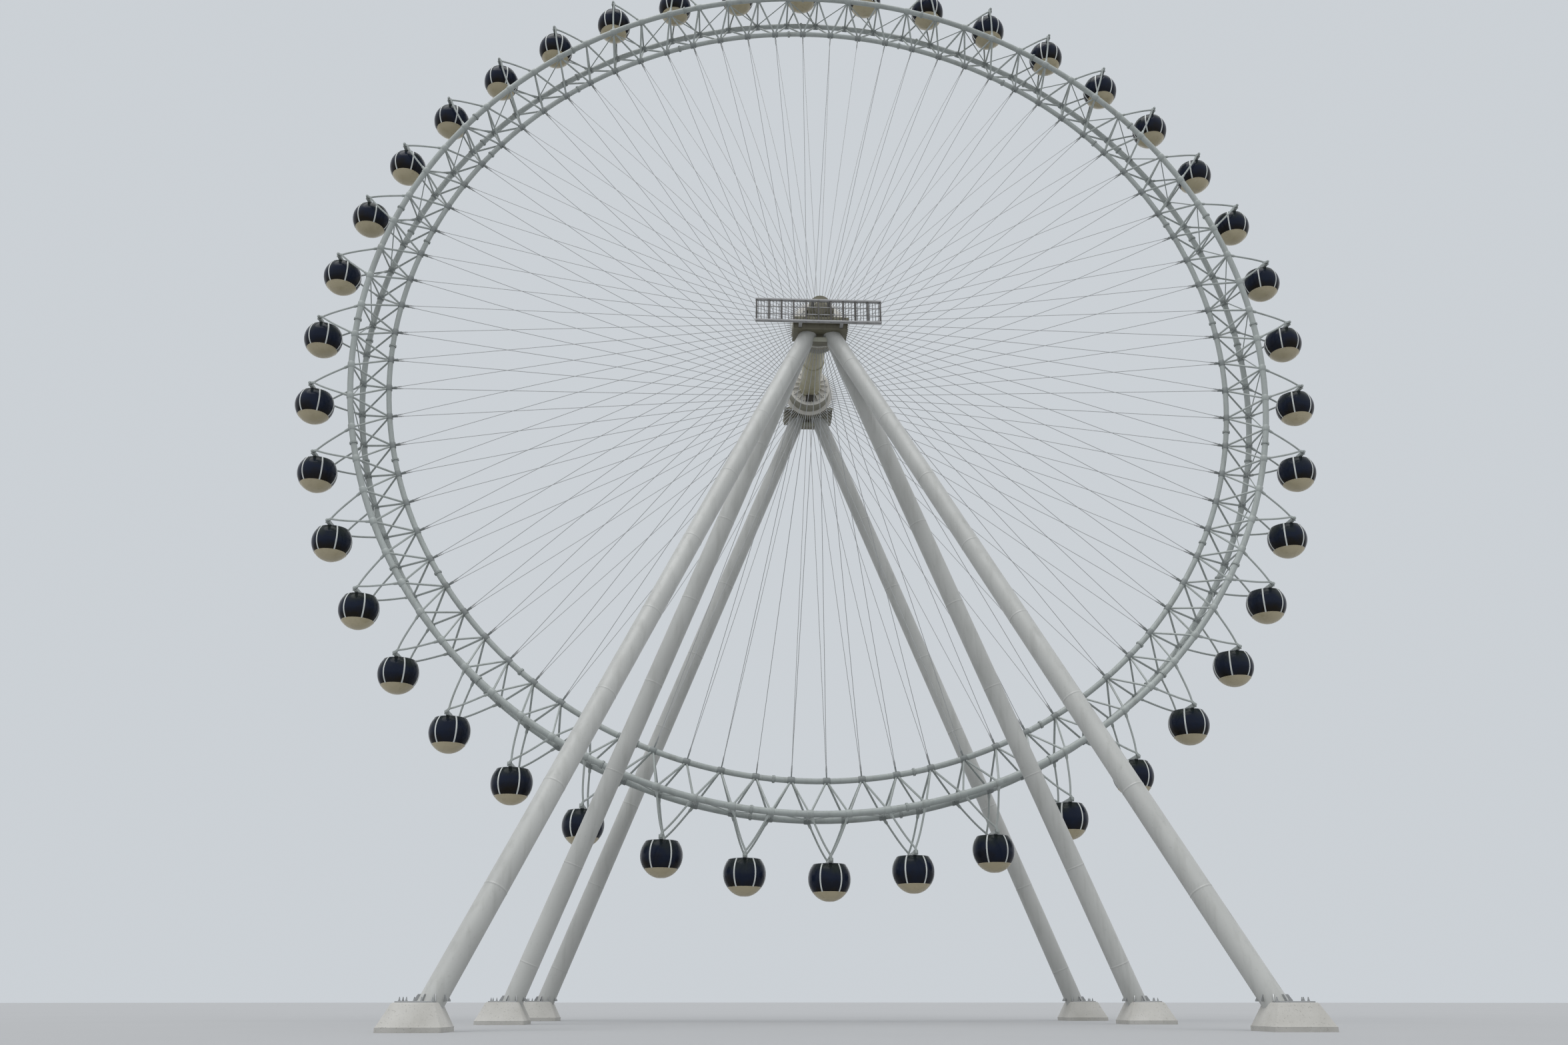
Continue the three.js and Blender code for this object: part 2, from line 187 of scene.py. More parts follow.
def rowCopiesTree():
    # copies of the object's own mesh in a straight row
    tree, given = startTree("rowCopies", {
        "Count": 4, "Start": (0.0, 0.0, 0.0), "End": (1.0, 0.0, 0.0), "Material": None})
    line = addNode(tree, "GeometryNodeMeshLine", {
        "Count": given["Count"], "Start Location": given["Start"], "Offset": given["End"]},
        mode="END_POINTS", count_mode="TOTAL")
    copies = addNode(tree, "GeometryNodeInstanceOnPoints", {
        "Points": line.outputs[0], "Instance": given["Geometry"]})
    return endTree(tree, copies.outputs[0], given["Material"])


def growMesh(tree, values, base=None):
    # runs a tree once and keeps the plain mesh
    carrier = bpy.data.objects.new("carrier", base or bpy.data.meshes.new("empty"))
    bpy.context.scene.collection.objects.link(carrier)
    grow = carrier.modifiers.new("grow", "NODES")
    grow.node_group = tree
    for item in tree.interface.items_tree:
        if item.in_out == "INPUT" and item.name in values:
            grow[item.identifier] = values[item.name]
    bpy.context.view_layer.update()
    shaped = carrier.evaluated_get(bpy.context.evaluated_depsgraph_get())
    mesh = bpy.data.meshes.new_from_object(shaped)
    bpy.data.objects.remove(carrier)
    return mesh


ringBars = ringBarsTree()
ringCopies = ringCopiesTree()
ringTube = ringTubeTree()
rowCopies = rowCopiesTree()
hubPlace = tuple(hub)


def barsRound(material, start, end, thickness, sides=6, count=nodes, first=innerFirst, turns=(0.0, 0.0)):
    # start and end are (radius, offset)
    return growMesh(ringBars, {
        "Count": count, "First Angle": first, "Start Radius": start[0], "Start Offset": start[1],
        "End Radius": end[0], "End Offset": end[1], "Start Turn": turns[0], "End Turn": turns[1],
        "Thickness": thickness, "Sides": sides, "Centre": hubPlace, "Material": material})


def copiesRound(material, base, count=nodes, first=innerFirst):
    return growMesh(ringCopies, {
        "Count": count, "First Angle": first, "Centre": hubPlace, "Material": material}, base)


def tubeRound(material, radius, offset, tube):
    return growMesh(ringTube, {
        "Radius": radius, "Offset": offset, "Tube": tube, "Segments": 3 * nodes, "Sides": 12,
        "Centre": hubPlace, "Material": material})


# mesh helpers: what begins with add puts a shape in a bmesh

def turnsRound(count, first=0.0):
    # equal steps of a full turn
    return [first + 2 * math.pi * index / count for index in range(count)]


def polar(radius, turn):
    return radius * math.cos(turn), radius * math.sin(turn)


def addBand(shape, low, high, material=0):
    # faces between two loops of vertices, either of which may be a single pole
    count = max(len(low), len(high))
    for index in range(count):
        after = (index + 1) % count
        places = ((low, index), (low, after), (high, after), (high, index))
        corners = dict.fromkeys(loop[at % len(loop)] for loop, at in places)
        shape.faces.new(list(corners)).material_index = material


def addRings(shape, rings, closed=False, material=0):
    # joins rings of points into a skin, capped at both ends unless it closes on itself
    loops = [[shape.verts.new(point) for point in ring] for ring in rings]
    for low, high in zip(loops, loops[1:] + loops[:1] if closed else loops[1:]):
        addBand(shape, low, high, material)
    if not closed:
        for loop in (loops[0], loops[-1]):
            shape.faces.new(loop).material_index = material


def addTube(shape, points, radii, sides=8, material=0):
    # radii is one radius, or one for each point
    points = [Vector(point) for point in points]
    if not isinstance(radii, (list, tuple)):
        radii = [radii] * len(points)
    way = (points[1] - points[0]).normalized()
    across = way.orthogonal().normalized()
    rings = []
    for index, point in enumerate(points):
        before = points[max(index - 1, 0)]
        after = points[min(index + 1, len(points) - 1)]
        newWay = (after - before).normalized()
        across = (way.rotation_difference(newWay) @ across).normalized()
        way = newWay
        upright = way.cross(across)
        rings.append([point + radii[index] * (math.cos(turn) * across + math.sin(turn) * upright)
                      for turn in turnsRound(sides)])
    addRings(shape, rings, material=material)


def addRevolved(shape, profile, origin, axis="Y", side=1, segments=48, material=0, bands=None):
    # profile is (radius, along) from pole to pole, mirrored at side -1; bands has a material for each step
    origin = Vector(origin)
    turns = turnsRound(segments)
    loops = []
    for radius, along in profile:
        loop = []
        for turn in turns if radius > 1e-6 else turns[:1]:
            x, y = polar(radius, turn)
            point = Vector((x, side * along, y) if axis == "Y" else (x, y, side * along))
            loop.append(shape.verts.new(origin + point))
        loops.append(loop)
    for number, (low, high) in enumerate(zip(loops, loops[1:])):
        addBand(shape, low, high, bands[number] if bands else material)


def addBlock(shape, size, place, turn=None, material=0, bevel=0.0):
    matrix = Matrix.Translation(Vector(place)) @ (turn or Matrix.Identity(4)) @ Matrix.Diagonal((*size, 1))
    made = bmesh.ops.create_cube(shape, size=1.0, matrix=matrix)["verts"]
    faces = {face for vert in made for face in vert.link_faces}
    for face in faces:
        face.material_index = material
    if bevel:
        edges = {edge for vert in made for edge in vert.link_edges}
        bmesh.ops.bevel(shape, geom=list(edges), offset=bevel, segments=2, profile=0.6, affect="EDGES",
                        material=material)


def addBar(shape, start, step, radius, sides=6, material=0):
    # a straight tube from a point along a step
    start = Vector(start)
    addTube(shape, [start, start + Vector(step)], radius, sides, material)


def addPlate(shape, outline, thickness, matrix):
    # a flat outline in x and y, given thickness both ways along z
    rings = [[matrix @ Vector((x, y, side * thickness / 2)) for x, y in outline] for side in (-1, 1)]
    addRings(shape, rings)


def meshOf(shape, *materials):
    bmesh.ops.recalc_face_normals(shape, faces=shape.faces)
    mesh = bpy.data.meshes.new("mesh")
    shape.to_mesh(mesh)
    shape.free()
    for material in materials:
        mesh.materials.append(material)
    return mesh


def blockMesh(size, place=(0, 0, 0), turn=None, bevel=0.0):
    shape = bmesh.new()
    addBlock(shape, size, place, turn, bevel=bevel)
    return meshOf(shape)


def blockRow(material, size, middle, reach, count, bevel=0.0):
    # equal blocks in a row along x, as far as reach both ways from the middle
    start, end = ((middle[0] + way * reach, *middle[1:]) for way in (-1, 1))
    block = blockMesh(size, bevel=bevel)
    return growMesh(rowCopies, {"Count": count, "Start": start, "End": end, "Material": material}, block)


sharpAngle = math.radians(35)        # edges past this stay sharp
frontAndBack = (("front", -1), ("back", 1))


def finishPiece(name, meshes, body, replaced=(), place=None):
    # one object from several meshes, with its place in its mesh
    joined = bmesh.new()
    materials = []
    for mesh in meshes:
        before = len(joined.faces)
        joined.from_mesh(mesh)
        joined.faces.ensure_lookup_table()
        slots = []
        for material in mesh.materials:
            if material not in materials:
                materials.append(material)
            slots.append(materials.index(material))
        for face in joined.faces[before:]:
            face.material_index = slots[min(face.material_index, len(slots) - 1)]
    result = bpy.data.meshes.new(name)
    joined.to_mesh(result)
    joined.free()
    if place:
        result.transform(Matrix.Translation(place))
    for material in materials:
        result.materials.append(material)
    result.polygons.foreach_set("use_smooth", [True] * len(result.polygons))
    result.set_sharp_from_angle(angle=sharpAngle)
    piece = bpy.data.objects.new(name, result)
    bpy.context.scene.collection.objects.link(piece)
    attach(piece, body)
    if replaced:
        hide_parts(*replaced)


# materials: all on Object coordinates, but for the cables' UV map and the glass's height

def newMaterial(name):
    material = bpy.data.materials.new(name)
    material.use_nodes = True
    tree = material.node_tree
    return material, tree, tree.nodes["Principled BSDF"]


def noiseOf(tree, scale, detail=3.0, roughness=0.55, stretch=None):
    place = addNode(tree, "ShaderNodeTexCoord").outputs["Object"]
    if stretch:
        place = addNode(tree, "ShaderNodeMapping", {"Vector": place, "Scale": stretch}).outputs[0]
    return addNode(tree, "ShaderNodeTexNoise", {
        "Vector": place, "Scale": scale, "Detail": detail, "Roughness": roughness}).outputs["Fac"]


def rangeOf(tree, value, low, high, newLow=0.0, newHigh=1.0):
    return addNode(tree, "ShaderNodeMapRange", {
        "Value": value, "From Min": low, "From Max": high, "To Min": newLow, "To Max": newHigh}).outputs[0]


def patchesOf(tree, scale, detail=3.0, low=0.0, high=1.0):
    # soft patches, since most of the noise lies between 0.3 and 0.7
    return rangeOf(tree, noiseOf(tree, scale, detail), 0.3, 0.7, low, high)


def spotsOf(tree, scale, detail, start, full, share):
    # spots that begin where the noise passes start and reach their share at full
    return rangeOf(tree, noiseOf(tree, scale, detail), start, full, 0.0, share)


def blendColours(tree, factor, *colours):
    first, second = ((*colour, 1) if isinstance(colour, tuple) else colour for colour in colours)
    node = addNode(tree, "ShaderNodeMix", {"Factor": factor, 6: first, 7: second}, data_type="RGBA")
    return node.outputs[2]


def tinted(colour, share):
    return tuple(share * value for value in colour)


def bumpOf(tree, height, strength, distance):
    return addNode(tree, "ShaderNodeBump", {
        "Height": height, "Strength": strength, "Distance": distance}).outputs[0]


weather = {
    "toneScale": 1.4, "lighter": 1.07, "darker": 0.9, "streakScale": 2.2, "streakStretch": (9, 9, 0.9),
    "speckScale": 55, "speckShare": 0.6, "glossScale": 12, "peelScale": 320, "peelDepth": 0.0008,
}


def paintFinish(name, colour, grime=(0.12, 0.12, 0.095), roughness=0.42, grimeShare=0.35):
    # weathered coating: broad tone, rain streaks down the piece, fine mottling and orange peel
    material, tree, shader = newMaterial(name)
    tone = blendColours(tree, patchesOf(tree, weather["toneScale"]),
                        tinted(colour, weather["darker"]), tinted(colour, weather["lighter"]))
    streaks = noiseOf(tree, weather["streakScale"], 5.0, 0.6, weather["streakStretch"])
    dirty = blendColours(tree, rangeOf(tree, streaks, 0.5, 0.78, 0.0, grimeShare), tone, grime)
    specks = spotsOf(tree, weather["speckScale"], 2.0, 0.62, 0.8, grimeShare * weather["speckShare"])
    setInputs(tree, shader, {
        "Base Color": blendColours(tree, specks, dirty, grime),
        "Roughness": patchesOf(tree, weather["glossScale"], 3.0, roughness - 0.07, roughness + 0.1),
        "Normal": bumpOf(tree, noiseOf(tree, weather["peelScale"], 2.0), 0.12, weather["peelDepth"])})
    return material


grease = (0.07, 0.06, 0.04)
paints = {
    "rim": {"colour": (0.355, 0.385, 0.37)},
    # darker grey for node sleeves and cable lugs: painted shade where the webs and chords meet
    "node": {"colour": (0.22, 0.24, 0.235), "roughness": 0.5},
    "leg": {"colour": (0.44, 0.445, 0.425), "roughness": 0.4, "grimeShare": 0.25},
    "hub": {"colour": (0.155, 0.145, 0.10), "grime": grease, "roughness": 0.45, "grimeShare": 0.5},
    "flange": {"colour": (0.62, 0.60, 0.55), "roughness": 0.5, "grimeShare": 0.25},
    # darker olive for the drum's side, partly its own paint and partly painted shade from the saddle and legs above
    "drum": {"colour": (0.24, 0.23, 0.18), "grime": (0.05, 0.045, 0.03), "roughness": 0.5},
    # near-black box finish: painted shade of a dark recess under the axle
    "shadeHatch": {"colour": (0.045, 0.04, 0.032), "grime": (0.02, 0.018, 0.014), "roughness": 0.6},
    "sign": {"colour": (0.36, 0.36, 0.36)},
    "bar": {"colour": (0.085, 0.08, 0.075), "grimeShare": 0.2},
    "roof": {"colour": (0.035, 0.04, 0.048), "roughness": 0.3, "grimeShare": 0.2},
    "mullion": {"colour": (0.60, 0.62, 0.60), "roughness": 0.32, "grimeShare": 0.15},
    "bowl": {"colour": (0.46, 0.40, 0.265), "grime": (0.2, 0.16, 0.1), "roughness": 0.3, "grimeShare": 0.2},
    "axle": {"colour": (0.37, 0.345, 0.235), "grime": grease, "roughness": 0.45, "grimeShare": 0.45},
    "edge": {"colour": (0.30, 0.285, 0.20), "grime": grease, "roughness": 0.45},
    "cross": {"colour": (0.36, 0.36, 0.29)},
}
paint = {name: paintFinish(name + "Paint", **look) for name, look in paints.items()}

glass = {
    # the glazing colours by height are painted reflection over the glass's dark tint
    "low": (0.014, 0.012, 0.009), "middle": (0.011, 0.016, 0.031), "high": (0.022, 0.028, 0.026),
    "film": (0.09, 0.095, 0.09),
}


def glassFinish():
    # dark tinted glazing with painted reflection by height: olive low down, navy across the middle, grey-green under
    # the roof
    material, tree, shader = newMaterial("cabinGlass")
    level = addNode(tree, "ShaderNodeAttribute", attribute_name="level").outputs["Fac"]
    height = calc(tree, "ADD", level, patchesOf(tree, 9, 2.0, -0.25, 0.25))
    base = blendColours(tree, rangeOf(tree, height, -0.65, -0.1), glass["low"], glass["middle"])
    base = blendColours(tree, rangeOf(tree, height, 0.1, 0.6), base, glass["high"])
    setInputs(tree, shader, {
        "Base Color": blendColours(tree, spotsOf(tree, 38, 4.0, 0.6, 0.85, 0.1), base, glass["film"]),
        "Roughness": rangeOf(tree, noiseOf(tree, 20, 3.0), 0.4, 0.8, 0.14, 0.28),
        "IOR": 1.33, "Specular IOR Level": 0.18,
        "Normal": bumpOf(tree, noiseOf(tree, 6, 1.0), 0.05, 0.004)})
    return material


strand = {
    # the darker strand colour is painted shade between the wires, the lighter one a painted highlight on their crowns
    "wires": 14.0, "lay": 60.0, "grooveShade": (0.34, 0.35, 0.35), "crown": (0.49, 0.50, 0.50),
    "stain": (0.20, 0.195, 0.175),
}


def cableFinish():
    # galvanised strand: wires wind round the cable along its own UV map, with painted shade in the grooves and a
    # painted highlight on the wires' crowns
    material, tree, shader = newMaterial("cableSteel")
    across = addNode(tree, "ShaderNodeSeparateXYZ", {
        0: addNode(tree, "ShaderNodeUVMap", uv_map="UVMap").outputs[0]})
    wires = calc(tree, "MULTIPLY", across.outputs[0], strand["wires"])
    lay = calc(tree, "MULTIPLY", across.outputs[1], strand["lay"])
    wave = calc(tree, "SINE", calc(tree, "MULTIPLY", calc(tree, "ADD", wires, lay), 2 * math.pi))
    reliefAndShade = rangeOf(tree, wave, -1.0, 1.0)
    # the relief mask also blends painted shade and a painted highlight into the colour
    tone = blendColours(tree, reliefAndShade, strand["grooveShade"], strand["crown"])
    setInputs(tree, shader, {
        "Base Color": blendColours(tree, spotsOf(tree, 3.0, 4.0, 0.55, 0.8, 0.3), tone, strand["stain"]),
        "Metallic": 0.3, "Roughness": 0.45, "Normal": bumpOf(tree, reliefAndShade, 0.5, 0.0006)})
    return material


def steelFinish(name, colour, roughness=0.4):
    # bare metal with dull patches and small spots of rust
    material, tree, shader = newMaterial(name)
    tone = blendColours(tree, patchesOf(tree, 8, 4.0), tinted(colour, 0.7), colour)
    setInputs(tree, shader, {
        "Base Color": blendColours(tree, spotsOf(tree, 40, 4.0, 0.66, 0.8, 0.5), tone, (0.14, 0.075, 0.04)),
        "Metallic": 0.75, "Roughness": patchesOf(tree, 25, 3.0, roughness - 0.08, roughness + 0.12),
        "Normal": bumpOf(tree, noiseOf(tree, 260, 2.0), 0.2, 0.0006)})
    return material


def concreteFinish():
    material, tree, shader = newMaterial("concrete")
    tone = blendColours(tree, patchesOf(tree, 4.5, 5.0), (0.38, 0.37, 0.34), (0.50, 0.49, 0.46))
    setInputs(tree, shader, {
        "Base Color": blendColours(tree, spotsOf(tree, 120, 3.0, 0.6, 0.72, 0.6), tone, (0.2, 0.19, 0.17)),
        "Roughness": 0.88, "Normal": bumpOf(tree, noiseOf(tree, 90, 5.0), 0.5, 0.002)})
    return material


cabinGlass = glassFinish()
cableSteel = cableFinish()
darkSteel = steelFinish("darkSteel", (0.20, 0.20, 0.19))
galvanised = steelFinish("galvanised", (0.46, 0.47, 0.47), 0.46)
concrete = concreteFinish()
print("materials ready")

# camera, floor and light

shot = {"lens": 28.12, "place": (-0.615, -7.664, 0.132), "pitch": 21.33, "yaw": 2.54}
cameraData = bpy.data.cameras.new("camera")
cameraData.lens = shot["lens"]
cameraData.sensor_width = 36
cameraData.clip_end = 400
camera = bpy.data.objects.new("camera", cameraData)
camera.location = shot["place"]
camera.rotation_euler = (math.radians(90 + shot["pitch"]), 0, -math.radians(shot["yaw"]))
bpy.context.scene.collection.objects.link(camera)
bpy.context.scene.camera = camera

studio = {
    "floorRadius": 90, "floor": (0.36, 0.365, 0.37), "sky": (0.60, 0.635, 0.67), "dome": (0.93, 0.96, 1.0),
    "domeLight": 0.85, "sun": 1.5, "sunSize": 50, "sunTilt": (14, -8),
}
floorMaterial, floorTree, floorShader = newMaterial("floorPaint")
floorTone = blendColours(floorTree, patchesOf(floorTree, 0.6), tinted(studio["floor"], 0.97), studio["floor"])
setInputs(floorTree, floorShader, {"Base Color": floorTone, "Roughness": 0.85})
floorShape = bmesh.new()
bmesh.ops.create_circle(floorShape, cap_ends=True, segments=96, radius=studio["floorRadius"])
floor = bpy.data.objects.new("floor", meshOf(floorShape, floorMaterial))
bpy.context.scene.collection.objects.link(floor)

world = bpy.data.worlds.new("studio")
bpy.context.scene.world = world
world.use_nodes = True
worldTree = world.node_tree
backdrop = worldTree.nodes["Background"]
setInputs(worldTree, backdrop, {"Color": (*studio["sky"], 1)})
dome = addNode(worldTree, "ShaderNodeBackground", {
    "Color": (*studio["dome"], 1), "Strength": studio["domeLight"]})
seen = addNode(worldTree, "ShaderNodeLightPath").outputs["Is Camera Ray"]
mixed = addNode(worldTree, "ShaderNodeMixShader", {0: seen, 1: dome.outputs[0], 2: backdrop.outputs[0]})
setInputs(worldTree, worldTree.nodes["World Output"], {"Surface": mixed.outputs[0]})

sunData = bpy.data.lights.new("softbox", "SUN")
sunData.energy = studio["sun"]
sunData.angle = math.radians(studio["sunSize"])
softbox = bpy.data.objects.new("softbox", sunData)
softbox.rotation_euler = (*(math.radians(tilt) for tilt in studio["sunTilt"]), 0)
bpy.context.scene.collection.objects.link(softbox)
bpy.context.scene.view_settings.view_transform = "Standard"
print("camera and studio ready")

# rim

innerChord = {
    "tube": 0.0205, "sleeve": 0.0255, "sleeveLength": 0.052, "flange": 0.0285, "flangeLength": 0.012,
    "splices": 21, "firstSplice": 20.5, "lug": (0.05, 0.014, 0.008), "lugDrop": 0.034, "lugShift": 0.007,
}
outerChord = {
    "tube": 0.0228, "sleeve": 0.0275, "sleeveLength": 0.05, "flange": 0.0305, "flangeLength": 0.012,
    "splices": 21, "firstSplice": 19.5, "web": 0.0078,
}
inner = (wheel["innerRadius"], 0.0)


def sleeveMesh(radius, offset, thick, length):
    # short collar round a chord at wheel angle nought, along the chord's own direction
    shape = bmesh.new()
    points = [(radius, offset, share * length / 2) for share in (-1, -0.7, 0.7, 1)]
    addTube(shape, points, [thick * 0.86, thick, thick, thick * 0.86], 10)
    return meshOf(shape)


def spliceMesh(radius, offset, thick, length):
    # pair of bolted flanges across a chord
    gasket, boltRadius, boltCircle, boltReach = 0.0008, 0.0021, thick * 0.86, length * 0.85
    shape = bmesh.new()
    for side in (-1, 1):
        addTube(shape, [(radius, offset, side * gasket), (radius, offset, side * length / 2)], thick, 14)
    for turn in turnsRound(8, math.pi / 8):
        x, y = polar(boltCircle, turn)
        addBar(shape, (radius + x, offset + y, -boltReach), (0, 0, 2 * boltReach), boltRadius)
    return meshOf(shape)


def chordMeshes(chord, place, first, sleevePaint):
    # a chord's tube with a collar at each node and its bolted splices; the collars take sleevePaint, and where that is
    # the darker node grey it is painted shade at the nodes
    sleeve = sleeveMesh(*place, chord["sleeve"], chord["sleeveLength"])
    splice = spliceMesh(*place, chord["flange"], chord["flangeLength"])
    return [
        tubeRound(paint["rim"], *place, chord["tube"]),
        copiesRound(sleevePaint, sleeve, first=first),
        copiesRound(paint["rim"], splice, chord["splices"], first + chord["firstSplice"] * nodeStep),
    ]


def lugMesh(side):
    # plate that holds one cable's end under an inner node
    slope = math.atan2(wheel["flangeOffset"], cableRise)
    place = (wheel["innerRadius"] - innerChord["lugDrop"], side * innerChord["lugShift"], 0)
    return blockMesh(innerChord["lug"], place, Matrix.Rotation(side * -slope, 4, "Z"), 0.001)


finishPiece("innerChord", [
    # inner collars and cable lugs in the node grey: painted shade at the nodes
    *chordMeshes(innerChord, inner, innerFirst, paint["node"]),
    copiesRound(paint["node"], lugMesh(-1)),
    copiesRound(paint["node"], lugMesh(1)),
], "wheel", ["rim_inner_chord"])

arm = {
    "radius": 0.0072, "bow": 0.015, "bowSkew": 1.36, "steps": 8, "tipInset": 0.026, "footRadius": 0.011,
    "footLength": 0.05, "footTaper": 0.012, "block": (0.036, 0.013, 0.017), "blockInset": 0.022,
    "housing": 0.0115, "housingDepth": 0.018, "housingGap": 0.157, "capHeight": 0.004,
}


def armPath(side, way):
    # from the outer chord's node to the cabin's pivot, bowed outwards
    x, z = polar(wheel["outerRadius"], way * halfStep)
    foot = Vector((x, side * wheel["outerOffset"], z))
    tip = Vector((wheel["pivotRadius"] - arm["tipInset"], side * wheel["outerOffset"], 0))
    path = []
    for index in range(arm["steps"] + 1):
        share = index / arm["steps"]
        bow = arm["bow"] * math.sin(math.pi * share ** arm["bowSkew"])
        path.append(foot.lerp(tip, share) + Vector((bow, 0, 0)))
    return path


def armMesh(side):
    # the two arms of one cabin on one side, each with a thicker foot
    shape = bmesh.new()
    for way in (-1, 1):
        path = armPath(side, way)
        addTube(shape, path, arm["radius"], 7)
        start = (path[1] - path[0]).normalized()
        stations = (0, arm["footLength"], arm["footLength"] + arm["footTaper"])
        addTube(shape, [path[0] + start * station for station in stations],
                [arm["footRadius"], arm["footRadius"], arm["radius"]], 8)
    return meshOf(shape)


def knuckleMesh(side):
    # bearing housing at the cabin's pivot with a bolted cap, and the short block that ties the two arms
    shape = bmesh.new()
    radius = arm["housing"]
    low = arm["housingGap"]
    high = low + arm["housingDepth"]
    top = high + arm["capHeight"]
    profile = [(0, low), (radius * 0.8, low), (radius, low + 0.003), (radius, high - 0.003),
               (radius * 0.82, high), (radius * 0.62, high), (radius * 0.62, top), (0, top)]
    addRevolved(shape, profile, (wheel["pivotRadius"], 0, 0), side=side, segments=16)
    for turn in turnsRound(6):
        x, z = polar(radius * 0.76, turn)
        addBar(shape, (wheel["pivotRadius"] + x, side * (high - 0.001), z), (0, side * 0.004, 0), 0.0013)
    place = (wheel["pivotRadius"] - arm["blockInset"], side * wheel["outerOffset"], 0)
    addBlock(shape, arm["block"], place, bevel=0.003)
    return meshOf(shape)


for sideName, side in frontAndBack:
    outer = (wheel["outerRadius"], side * wheel["outerOffset"])
    finishPiece(sideName + "Truss", [
        # back collars in the node grey as painted shade, front ones in the plain rim paint
        *chordMeshes(outerChord, outer, outerFirst, paint["node"] if side > 0 else paint["rim"]),
        barsRound(paint["rim"], inner, outer, outerChord["web"], turns=(0.0, halfStep)),
        barsRound(paint["rim"], inner, outer, outerChord["web"], turns=(0.0, -halfStep)),
        copiesRound(paint["rim"], armMesh(side), wheel["bays"]),
        copiesRound(paint["rim"], knuckleMesh(side), wheel["bays"]),
    ], "wheel", ["rim_" + sideName + "_truss"])

crossWeb = {"strut": 0.0075, "diagonal": 0.0045}
strutReach = wheel["outerOffset"] - outerChord["tube"]
crossEnds = [(wheel["outerRadius"], side * strutReach) for sideName, side in frontAndBack]
crossBars = [barsRound(paint["rim"], *crossEnds, crossWeb["strut"], first=outerFirst)]
for ends, first in ((crossEnds, outerFirst), (crossEnds[::-1], outerFirst + nodeStep)):
    crossBars.append(barsRound(paint["rim"], *ends, crossWeb["diagonal"], count=wheel["bays"], first=first,
                               turns=(0.0, nodeStep)))
finishPiece("crossWeb", crossBars, "wheel", ["rim_cross_web"])
print("rim built")

# cables

cable = {
    "radius": 0.0023, "stub": 0.0048, "stubFrom": 0.05, "stubTo": 0.09, "neck": 0.0036, "neckTo": 0.105,
    "hubSocket": 0.0038, "socketLength": 0.04, "socketEnd": 0.012, "hubEnd": 0.03,
}
anchor = {
    "lug": (0.026, 0.010, 0.0036), "lugShift": 0.003, "inside": 0.1703, "edge": 0.188, "outside": 0.1915,
    "half": 0.010,
}


def onCable(side, fromNode):
    # (radius, offset) at a distance from the inner node down the cable
    share = fromNode / cableLength
    return wheel["innerRadius"] - cableRise * share, side * wheel["flangeOffset"] * share


def cableBars(material, side, start, end, thickness):
    # the same stretch of every cable on one side
    return barsRound(material, onCable(side, start), onCable(side, end), thickness, 8)


def anchorMesh(side):
    # lug on the hub's anchor ring, one for each cable
    place = (wheel["anchorRadius"] + anchor["lugShift"], side * wheel["flangeOffset"], 0)
    return blockMesh(anchor["lug"], place)


def anchorRingMesh(side):
    shape = bmesh.new()
    middle = hub + Vector((0, side * wheel["flangeOffset"], 0))
    half = anchor["half"]
    profile = [(anchor["inside"], -half), (anchor["edge"], -half), (anchor["outside"], -half * 0.6),
               (anchor["outside"], half * 0.6), (anchor["edge"], half), (anchor["inside"], half)]
    rings = []
    for turn in turnsRound(96):
        x, z = polar(1.0, turn)
        rings.append([middle + Vector((radius * x, along, radius * z)) for radius, along in profile])
    addRings(shape, rings, closed=True)
    return meshOf(shape, paint["flange"])


for sideName, side in frontAndBack:
    fans = [sideName + "_spokes_" + fan for fan in ("top", "right", "left")]
    finishPiece(sideName + "Cables", [
        cableBars(cableSteel, side, cable["stubTo"], cableLength - cable["hubEnd"], cable["radius"]),
    ], "wheel", fans)
    finishPiece(sideName + "CableEnds", [
        cableBars(galvanised, side, cable["stubFrom"], cable["stubTo"], cable["stub"]),
        cableBars(galvanised, side, cable["stubTo"], cable["neckTo"], cable["neck"]),
        cableBars(cableSteel, side, cableLength - cable["socketEnd"], cableLength - cable["socketLength"],
                  cable["hubSocket"]),
        copiesRound(paint["flange"], anchorMesh(side)),
        anchorRingMesh(side),
    ], "wheel")
print("cables built")

# hub axle

axle = {
    "radius": 0.081, "belt": 0.088, "flare": 0.092, "flange": 0.17, "flangeHalf": 0.017, "drum": 0.1675,
    "drumLength": 0.122, "hoopFrom": 0.055, "hoop": 0.002, "journal": 0.06, "shoulder": 0.6065, "end": 0.8065,
    "ribs": 16, "firstRib": 0.1, "ribRadii": (0.08, 0.093, 0.152), "ribDepth": 0.03, "ribThickness": 0.005,
    "shadeHatch": (0.064, 0.034, 0.044), "hatchDrop": 0.114,
    # each row: the face it stands on, circle, length outwards, radius, count, first angle
    "boltRows": (("flange", 0.15, 0.011, 0.0034, 40, 0.0), ("flange", 0.107, 0.011, 0.0034, 20, 0.0),
                 ("drum", 0.138, -0.009, 0.003, 32, 0.2)),
}
drumStart = wheel["flangeOffset"] - axle["flangeHalf"] - axle["drumLength"]


